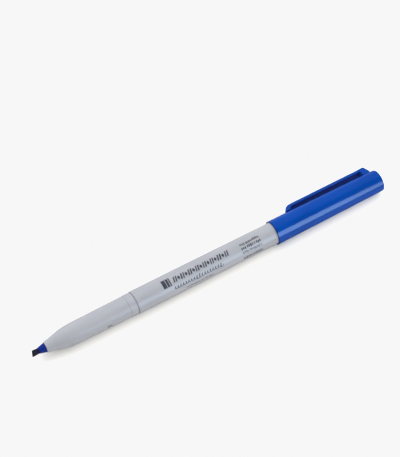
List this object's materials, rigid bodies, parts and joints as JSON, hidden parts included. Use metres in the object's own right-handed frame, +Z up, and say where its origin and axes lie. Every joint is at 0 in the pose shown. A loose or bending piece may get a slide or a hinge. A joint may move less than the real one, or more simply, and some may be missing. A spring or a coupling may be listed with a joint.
{
  "type": "calligraphy marker",
  "caption": "Slim calligraphy marker with an oblique chisel nib, tapering grip and round barrel, its clipped cap posted on the rear end.",
  "frame": {"origin": "on the pen's axis, in the middle of the barrel's straight stretch just behind the seam", "axes": "+X along the axis from the nib towards the cap's closed end; +Z up as the pen lies; +Y to the clip's side"},
  "size_m": [0.1625, 0.0129, 0.0104],
  "materials": {
    "barrel_plastic": "satin",
    "collar_plastic": "satin",
    "nib_fibre": "matte, ink-stained fibre",
    "ink_fibre": "matte",
    "film_plastic": "gloss",
    "cap_plastic": "semi-gloss",
    "liner_plastic": "satin"
  },
  "bodies": {
    "pen": {"barrel": "barrel_plastic", "grip_section": "barrel_plastic", "tip_collar": "collar_plastic", "nib": "nib_fibre", "reservoir_fibre": "ink_fibre", "reservoir_film": "film_plastic"},
    "cap": {"cap_shell": "cap_plastic", "inner_cap": "liner_plastic"},
    "clip": {"cap_clip": "cap_plastic"}
  },
  "joints": [
    {"name": "cap_slide", "type": "slide", "parent": "pen", "child": "cap", "axis": [1, 0, 0], "range_m": [0, 0.045]},
    {"name": "clip_flex", "type": "hinge", "parent": "cap", "child": "clip", "pos_m": [0.0999, 0.00699, 0.00024], "axis": [0, 0.0349, -0.9994], "range_deg": [0, 5], "stiffness_Nm_per_rad": 0.06}
  ]
}
